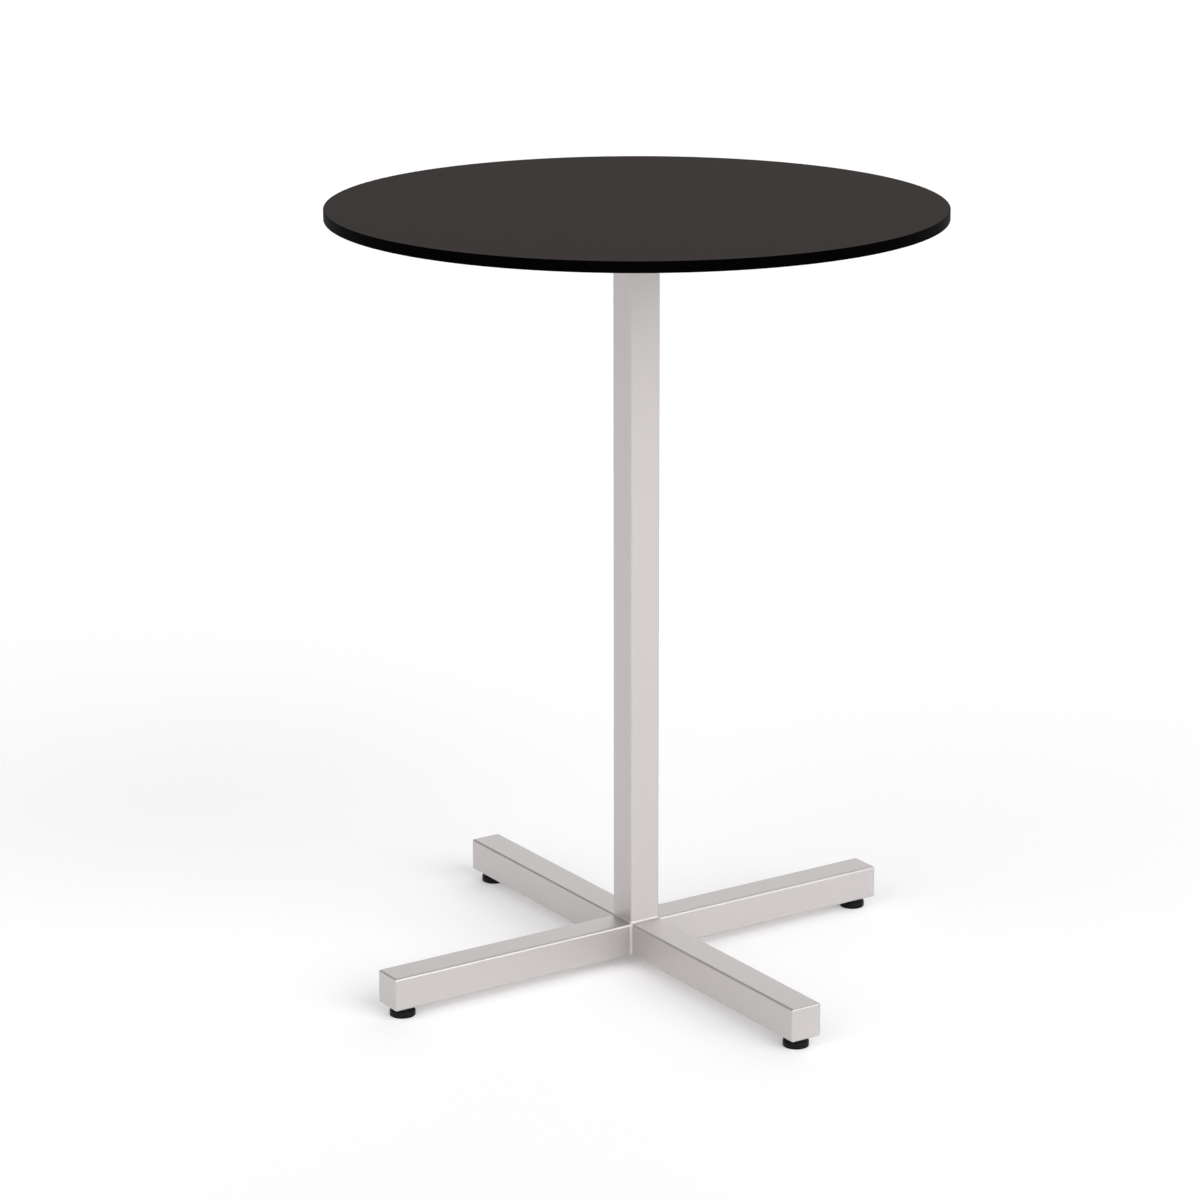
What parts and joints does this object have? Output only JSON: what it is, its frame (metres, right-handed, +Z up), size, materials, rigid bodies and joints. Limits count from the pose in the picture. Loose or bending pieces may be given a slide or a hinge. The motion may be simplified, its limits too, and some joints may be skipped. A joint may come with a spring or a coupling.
{
  "type": "counter height table",
  "caption": "Counter height table: thin round black laminate top on a square steel column with a cross base of square tube, standing on levelling glides that screw in and out.",
  "frame": {"origin": "on the floor under the column's axis", "axes": "+Z up along the column; the arms of the base run along X and Y"},
  "size_m": [0.7112, 0.7112, 0.9144],
  "materials": {
    "laminate_top": "fine-textured matt charcoal laminate with a black core",
    "satin_steel": "satin brushed, slightly warm",
    "zinc_steel": "zinc plated",
    "black_screw": "black oxide",
    "insert_brass": "plain turned brass",
    "black_nylon": "moulded matt black nylon"
  },
  "bodies": {
    "frame": {"table_top": "laminate_top", "mounting_plate": "satin_steel", "column_tube": "satin_steel", "column_bottom_plate": "satin_steel", "arm_tube_right": "satin_steel", "arm_tube_back": "satin_steel", "arm_tube_left": "satin_steel", "arm_tube_front": "satin_steel", "arm_end_plate_right": "satin_steel", "arm_end_plate_back": "satin_steel", "arm_end_plate_left": "satin_steel", "arm_end_plate_front": "satin_steel", "arm_nut_right": "zinc_steel", "arm_nut_back": "zinc_steel", "arm_nut_left": "zinc_steel", "arm_nut_front": "zinc_steel", "top_insert_back_right": "insert_brass", "top_insert_back_left": "insert_brass", "top_insert_front_left": "insert_brass", "top_insert_front_right": "insert_brass", "top_washer_back_right": "zinc_steel", "top_washer_back_left": "zinc_steel", "top_washer_front_left": "zinc_steel", "top_washer_front_right": "zinc_steel", "top_screw_back_right": "black_screw", "top_screw_back_left": "black_screw", "top_screw_front_left": "black_screw", "top_screw_front_right": "black_screw"},
    "glide_pad_right": {"glide_pad_right": "black_nylon"},
    "glide_stem_right": {"glide_stem_right": "zinc_steel"},
    "glide_pad_back": {"glide_pad_back": "black_nylon"},
    "glide_stem_back": {"glide_stem_back": "zinc_steel"},
    "glide_pad_left": {"glide_pad_left": "black_nylon"},
    "glide_stem_left": {"glide_stem_left": "zinc_steel"},
    "glide_pad_front": {"glide_pad_front": "black_nylon"},
    "glide_stem_front": {"glide_stem_front": "zinc_steel"}
  },
  "joints": [
    {"name": "glide_travel_right", "type": "slide", "parent": "frame", "child": "glide_pad_right", "axis": [0, 0, 1], "range_m": [-0.012, 0.0007]},
    {"name": "stem_turn_right", "type": "hinge", "parent": "glide_pad_right", "child": "glide_stem_right", "pos_m": [0.325, 0, 0], "axis": [0, 0, 1], "range_deg": [-3457, 203]},
    {"name": "glide_travel_back", "type": "slide", "parent": "frame", "child": "glide_pad_back", "axis": [0, 0, 1], "range_m": [-0.012, 0.0007]},
    {"name": "stem_turn_back", "type": "hinge", "parent": "glide_pad_back", "child": "glide_stem_back", "pos_m": [0, 0.325, 0], "axis": [0, 0, 1], "range_deg": [-3457, 203]},
    {"name": "glide_travel_left", "type": "slide", "parent": "frame", "child": "glide_pad_left", "axis": [0, 0, 1], "range_m": [-0.012, 0.0007]},
    {"name": "stem_turn_left", "type": "hinge", "parent": "glide_pad_left", "child": "glide_stem_left", "pos_m": [-0.325, 0, 0], "axis": [0, 0, 1], "range_deg": [-3457, 203]},
    {"name": "glide_travel_front", "type": "slide", "parent": "frame", "child": "glide_pad_front", "axis": [0, 0, 1], "range_m": [-0.012, 0.0007]},
    {"name": "stem_turn_front", "type": "hinge", "parent": "glide_pad_front", "child": "glide_stem_front", "pos_m": [0, -0.325, 0], "axis": [0, 0, 1], "range_deg": [-3457, 203]}
  ],
  "couplings": [
    {"joint": "stem_turn_right", "follows": "glide_travel_right", "rad_per_m": 5026.5},
    {"joint": "stem_turn_back", "follows": "glide_travel_back", "rad_per_m": 5026.5},
    {"joint": "stem_turn_left", "follows": "glide_travel_left", "rad_per_m": 5026.5},
    {"joint": "stem_turn_front", "follows": "glide_travel_front", "rad_per_m": 5026.5}
  ]
}
